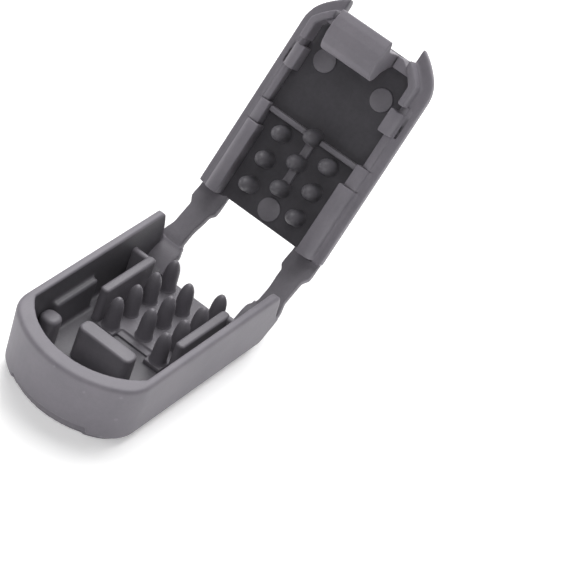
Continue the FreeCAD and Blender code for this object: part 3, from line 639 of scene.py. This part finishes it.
# %% Stop and pegs
STOP_THICKER = 0.3
PEG_LONGER = 0.15
PEG_WIDER = 0.1
low, high = local_box("latch_backstop", UPRIGHT)
low.x -= STOP_THICKER
shape = soft_block(low, high, edge_round=0.28, taper=0.03, corner_round=0.68)
stop = from_shape("cord_stop", shape, UPRIGHT, INSIDE_PAINTED_SHADE)
hand_over(stop, "base", "latch_backstop")
for side_name, _ in SIDES:
    low, high = local_box(f"corner_peg_{side_name}", UPRIGHT)
    low -= Vector((PEG_LONGER, PEG_WIDER, 0))
    high += Vector((0, PEG_WIDER, 0))
    shape = soft_block(low, high, edge_round=0.45, taper=0.02, segments=6, corner_round=0.8)
    peg = from_shape(f"round_peg_{side_name}", shape, UPRIGHT, INSIDE_PAINTED_SHADE)
    hand_over(peg, "base", f"corner_peg_{side_name}")
print("1 cord stop and 2 pegs")

# %% [markdown]
# ## The lid pan
# The lid is a shallow pan with the same round end. Its floor, its outer wall, the curved lips
# beside the latch and the two stubs that carry the straps form one relaxed skin.

# %% Pan
pan_nodes = ["lid_tray"]
for side_name, _ in SIDES:
    pan_nodes += [f"lid_strap_root_{side_name}", f"end_lip_{side_name}"]
pan = relaxed_skin("lid_pan", pan_nodes, OUTSIDE, cell=0.12, passes=7)


FLOOR_BAND = (-2.0, -1.35)
FLOOR_HALF = 6.4
FACES_UP = 0.3


def on_tray_floor(point, normal):
    """True for the upper faces of the tray's floor."""
    level = FLOOR_BAND[0] < point.z < FLOOR_BAND[1]
    return level and normal.z > FACES_UP and abs(point.y) < FLOOR_HALF


# The tray floor's upper faces get the darkest grey: painted shade for the shadow in the lid's tray.
paint_inner_shade(pan, LID, on_tray_floor, LID_PAINTED_SHADE)
hand_over(pan, "lid", *pan_nodes)

# %% [markdown]
# ## Lips along the lid
# Lips of several heights nest inside the base when the lock is shut. Their outer top edge has
# a large round, so that they slide in, and their ends are nearly square. A lip is one
# cross-section, a quarter round from its crest to the level where it meets the tray's rim,
# drawn out along the lid.


# %% Lips
NEST_HALF = 6.56
NEST_LEVEL = -1.08
RIM_EDGE = 7.36
LIP_FOOT = -1.9
CREST_WIDTH = 0.3
CREST_LEAST = 5.65
ROUND_STEPS = 7
LIP_EDGE = 0.13
SHARP_TURN = 0.9


def lip_section(inner, top):
    """Cross-section of a lip as distance from the middle and height, in millimetres."""
    crest = max(inner + CREST_WIDTH, CREST_LEAST)
    section = [(inner, LIP_FOOT), (inner, top), (crest, top)]
    for step in range(1, ROUND_STEPS + 1):
        turn = math.pi / 2 * step / ROUND_STEPS
        out = crest + (NEST_HALF - crest) * math.sin(turn)
        section.append((out, NEST_LEVEL + (top - NEST_LEVEL) * math.cos(turn)))
    section += [(NEST_HALF + 0.3, NEST_LEVEL - 0.06), (RIM_EDGE, -1.2), (RIM_EDGE - 0.1, -1.6)]
    return section


def lip_shape(start, end, inner, top, side):
    """A lip drawn out along the lid from its cross-section, with softened ends."""
    shape = bmesh.new()
    section = lip_section(inner, top)
    face = shape.faces.new([shape.verts.new((start, side * out, level)) for out, level in section])
    drawn = bmesh.ops.extrude_face_region(shape, geom=[face])
    moved = [item for item in drawn["geom"] if isinstance(item, bmesh.types.BMVert)]
    bmesh.ops.translate(shape, vec=(end - start, 0, 0), verts=moved)
    bmesh.ops.recalc_face_normals(shape, faces=shape.faces[:])
    sharp = [edge for edge in shape.edges if edge.calc_face_angle() > SHARP_TURN]
    bmesh.ops.bevel(
        shape,
        geom=sharp,
        offset=LIP_EDGE,
        segments=3,
        profile=0.5,
        affect="EDGES",
        material=-1,
    )
    return shape


LIP_ORDER = ("long_lip", "short_lip", "low_lip", "key_block")
INTO_HORN = 0.1


def lip_limits(side_name):
    """Start and end of each lip, and its CAD box.

    Neighbours meet, and the low lip runs on under the key block into the curved horn.
    """
    boxes = [local_box(f"{lip}_{side_name}", LID) for lip in LIP_ORDER]
    horn_start = local_box(f"end_lip_{side_name}", LID)[0].x
    starts = [low.x for low, _ in boxes] + [horn_start]
    ends = [high.x for _, high in boxes]
    meets = [(end + start) / 2 for end, start in zip(ends[:-1], starts[1:-1])]
    spans = list(zip([starts[0]] + meets, meets + [ends[-1]]))
    low_lip = LIP_ORDER.index("low_lip")
    spans[low_lip] = (spans[low_lip][0], horn_start + INTO_HORN)
    return zip(spans, boxes)


for side_name, side in SIDES:
    for lip, ((start, end), (low, high)) in zip(LIP_ORDER, lip_limits(side_name)):
        inner = min(abs(low.y), abs(high.y))
        shape = lip_shape(start, end, inner, high.z, side)
        name = f"{lip}_{side_name}_moulded"
        piece = from_shape(name, shape, LID, OUTSIDE, sharp_angle=60)
        hand_over(piece, "lid", f"{lip}_{side_name}")
print(2 * len(LIP_ORDER), "lips")

# %% [markdown]
# ## End walls beside the latch
# A low wall closes the lid's end on each side of the tongue, so the tongue stands in a slot.

# %% End walls
for side_name, _ in SIDES:
    node = f"end_wall_{side_name}"
    wall = relaxed_skin(f"latch_wall_{side_name}", [node], OUTSIDE, cell=0.07, passes=3)
    hand_over(wall, "lid", node)

# %% [markdown]
# ## Ejector marks
# Three pins pushed the lid out of the mould. Each leaves a round mark, about a tenth of a
# millimetre proud of the floor. The marks are where the CAD tray has its own.

# %% Marks
MARK_RADIUS = 1.15
MARK_PROUD = 0.12
MARK_THICK = 0.4
MARKS = ((1.5, 0.0), (16.2, 3.45), (16.2, -3.45))
tray_floor = local_box("lid_tooth_01", LID)[0].z
mark_middle = tray_floor + MARK_PROUD - MARK_THICK / 2
for number, (x, y) in enumerate(MARKS, start=1):
    shape = bmesh.new()
    bmesh.ops.create_cone(
        shape,
        cap_ends=True,
        segments=48,
        radius1=MARK_RADIUS,
        radius2=MARK_RADIUS,
        depth=MARK_THICK,
    )
    bmesh.ops.translate(shape, vec=(x, y, mark_middle), verts=shape.verts)
    rims = [edge for edge in shape.edges if edge.calc_face_angle() > SHARP_TURN]
    bmesh.ops.bevel(
        shape, geom=rims, offset=0.05, segments=2, profile=0.5, affect="EDGES", material=-1
    )
    hand_over(from_shape(f"ejector_mark_{number}", shape, LID, INSIDE_PAINTED_SHADE), "lid")
print(len(MARKS), "ejector marks")

# %% [markdown]
# ## Walls on the lid's floor
# A cross wall stands behind the teeth. Two short ribs join the middle teeth, so they run on
# into the teeth's feet.

# %% Cross wall and ribs
INTO_TOOTH = Vector((0.4, 0, 0))
for side_name, _ in SIDES:
    low, high = local_box(f"cross_wall_{side_name}", LID)
    shape = soft_block(low, high, edge_round=0.14, taper=0.03)
    wall = from_shape(f"cross_bar_{side_name}", shape, LID, INSIDE_PAINTED_SHADE)
    hand_over(wall, "lid", f"cross_wall_{side_name}")
for number in (1, 2):
    low, high = local_box(f"centre_rib_{number}", LID)
    shape = soft_block(low - INTO_TOOTH, high + INTO_TOOTH, edge_round=0.14, taper=0.03)
    rib = from_shape(f"floor_rib_{number}", shape, LID, INSIDE_PAINTED_SHADE)
    hand_over(rib, "lid", f"centre_rib_{number}")
print("2 cross bars and 2 ribs")

# %% [markdown]
# ## Latch tongue
# The tongue is the only part that flexes by hand. It stands on the lid's end, with a broad
# domed top that the thumb feels and a hooked rear edge that snaps under the catch.

# %% Tongue
tongue = relaxed_skin("thumb_tongue", ["latch_tongue"], OUTSIDE, cell=0.08, passes=6)
hand_over(tongue, "latch", "latch_tongue")

# %% [markdown]
# ## Straps
# Each strap is a ribbon 0.9 mm thick that flows out of the tub's corner, narrows between its
# two fold lines and widens again into the lid. Every point of it has a distance along the
# ribbon, so a straight bar is bent onto the ribbon's middle line. The ribbon is cut in two at
# half length: the lower piece bends between the base and the strap, the upper one between the
# strap and the lid, and both follow the strap itself where they meet.

# %% Strap line
BEND = 0.9
DEEP_IN_TUB = Vector((-3.3, 0, -2.2))
UNDER_SLOPE = Vector((-1.9, 0, -1.15))
SAG = Vector((0, 0, -0.08))
LID_FLOOR_MIDDLE = Vector((0, 0, -2.1))
MOST_OF_THE_WAY = 0.75
INTO_LID_FLOOR = 0.6


def joint_place(name):
    """Where a joint's axis crosses the middle of the row, in millimetres."""
    joint = next(item for item in frame["joints"] if item["name"] == name)
    return Vector(joint["pos_m"]) / MM


fold_one = joint_place("strap_fold_base")
fold_two = joint_place("strap_fold_lid")
print("fold lines at", [round(value, 2) for value in (*fold_one, *fold_two)])
strap_middle = (fold_one + fold_two) / 2
strap_along = (fold_two - fold_one).normalized()
lid_floor_edge = (LID @ (LID_FLOOR_MIDDLE * MM)) / MM
lid_inward = LID.to_3x3() @ Vector((1, 0, 0))
strap_line = [
    fold_one + DEEP_IN_TUB,
    fold_one + UNDER_SLOPE,
    fold_one - strap_along * BEND + SAG,
    fold_one,
    strap_middle,
    fold_two,
    fold_two.lerp(lid_floor_edge, MOST_OF_THE_WAY),
    lid_floor_edge + lid_inward * INTO_LID_FLOOR,
]


def line_samples(points, count):
    """Evenly spread points on the smooth line through a few points, by Bezier handles."""
    curve = bpy.data.curves.new("line", "CURVE")
    curve.dimensions = "3D"
    spline = curve.splines.new("BEZIER")
    spline.bezier_points.add(len(points) - 1)
    for knot, point in zip(spline.bezier_points, points):
        knot.co = point
        knot.handle_left_type = knot.handle_right_type = "AUTO"
    curve.resolution_u = 24
    holder = bpy.data.objects.new("line", curve)
    bpy.context.scene.collection.objects.link(holder)
    mesh = bpy.data.meshes.new_from_object(holder)
    path = [vertex.co.copy() for vertex in mesh.vertices]
    bpy.data.objects.remove(holder)
    bpy.data.curves.remove(curve)
    bpy.data.meshes.remove(mesh)
    steps = [0.0]
    for one, two in zip(path, path[1:]):
        steps.append(steps[-1] + (two - one).length)
    even = []
    index = 0
    for number in range(count + 1):
        goal = steps[-1] * number / count
        while index < len(path) - 2 and steps[index + 1] < goal:
            index += 1
        share = (goal - steps[index]) / (steps[index + 1] - steps[index])
        even.append(path[index].lerp(path[index + 1], share))
    return even


STRAP_STEPS = 72
strap_path = line_samples(strap_line, STRAP_STEPS)
print("the strap's line runs on", len(strap_path), "points")

# %% [markdown]
# ## Width and thickness of a strap
# A strap is wide at both roots and narrow between them. Each of its two edges starts at its
# distance from the middle of the part and is then moved in eased steps. A step is written as
# its change, where it begins and where it ends, in millimetres along the strap from the first
# fold. The thickness changes in the same way.

# %% Strap section
LINK = (fold_two - fold_one).length
INNER_EDGE = 4.15
INNER_STEPS = ((0.58, -1.6, -0.1), (-0.22, 1.0, 3.3), (-0.38, 3.35, 4.0))
OUTER_EDGE = 7.2
OUTER_STEPS = ((-0.32, -0.3, 1.2), (0.40, 3.4, 4.3))
STRAP_HALF = 0.45
ROOT_EXTRA = 0.06
ROOT_REACH = (-1.2, 0.6)
SUNK_LESS = 0.17
SUNK_REACH = (0.5, 1.7)


def eased(value, low, high):
    """0 up to low, 1 from high, and a smooth change between them."""
    share = min(1.0, max(0.0, (value - low) / (high - low)))
    return share * share * (3 - 2 * share)


def strap_edge(start, steps, distance):
    """Where an edge of the ribbon is, at a distance along the strap from the first fold."""
    for change, begins, ends in steps:
        start += change * eased(distance, begins, ends)
    return start


def strap_half(distance):
    """Half thickness: more over both roots, and less where the ribbon sinks into the lid."""
    past_lid_fold = distance - LINK
    near_root = eased(-distance, *ROOT_REACH) + eased(past_lid_fold, *ROOT_REACH)
    sunk = eased(past_lid_fold, *SUNK_REACH)
    return STRAP_HALF + ROOT_EXTRA * near_root - SUNK_LESS * sunk


waist_outer = strap_edge(OUTER_EDGE, OUTER_STEPS, LINK / 2)
waist = waist_outer - strap_edge(INNER_EDGE, INNER_STEPS, LINK / 2)
print(f"half way a strap is {waist:.2f} mm wide and {2 * strap_half(LINK / 2):.2f} mm thick")

# %% [markdown]
# ## Bending a bar onto the line
# The bar is cut into one slice for each step of the line. Every slice is then set across the
# line at its own place, and last the four long edges are rounded.

# %% Ribbon
RIBBON_ROUND = 0.2
CORNER_TURN = 1.2
RUNS_ALONG = 0.4
RUNS_ACROSS = 0.8


def ribbon(name, first, last, side):
    """A straight bar, bent onto the strap's line between two of its points, then rounded."""
    shape = bmesh.new()
    bmesh.ops.create_cube(shape, size=1.0)
    bmesh.ops.scale(shape, vec=(last - first, 1.0, 1.0), verts=shape.verts)
    bmesh.ops.translate(shape, vec=((first + last) / 2, 0, 0), verts=shape.verts)
    long_edges = []
    for edge in shape.edges:
        if abs(edge.verts[0].co.x - edge.verts[1].co.x) > 0.5:
            long_edges.append(edge)
    bmesh.ops.subdivide_edges(shape, edges=long_edges, cuts=last - first - 1, use_grid_fill=True)
    for vertex in shape.verts:
        index = min(max(int(round(vertex.co.x)), 0), STRAP_STEPS)
        here = strap_path[index]
        ahead = strap_path[min(index + 1, STRAP_STEPS)]
        behind = strap_path[max(index - 1, 0)]
        along = (ahead - behind).normalized()
        across = Vector((-along.z, 0, along.x))
        distance = (here - fold_one).dot(strap_along)
        inner = strap_edge(INNER_EDGE, INNER_STEPS, distance)
        outer = strap_edge(OUTER_EDGE, OUTER_STEPS, distance)
        sideways = inner + (outer - inner) * (vertex.co.y + 0.5)
        vertex.co = here + across * (vertex.co.z * 2 * strap_half(distance))
        vertex.co.y = side * sideways
    bmesh.ops.recalc_face_normals(shape, faces=shape.faces[:])
    corners = []
    for edge in shape.edges:
        if len(edge.link_faces) == 2 and edge.calc_face_angle() > CORNER_TURN:
            direction = (edge.verts[0].co - edge.verts[1].co).normalized()
            along_strap = abs(direction.dot(strap_along)) > RUNS_ALONG
            if along_strap and abs(direction.y) < RUNS_ACROSS:
                corners.append(edge)
    bmesh.ops.bevel(
        shape,
        geom=corners,
        offset=RIBBON_ROUND,
        segments=3,
        profile=0.5,
        affect="EDGES",
        material=-1,
    )
    return from_shape(name, shape, UPRIGHT, STRAP_SKIN, sharp_angle=70)


# %% Straps, cut in two at half length
half_way = min(range(STRAP_STEPS + 1), key=lambda i: (strap_path[i] - strap_middle).length)
for side_name, side in SIDES:
    lower = ribbon(f"strap_lower_{side_name}", 0, half_way, side)
    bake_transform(lower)
    upper = ribbon(f"strap_upper_{side_name}", half_way, STRAP_STEPS, side)
    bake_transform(upper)
    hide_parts(f"strap_{side_name}")
print("4 strap pieces")

# %% Sizes
low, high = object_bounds()
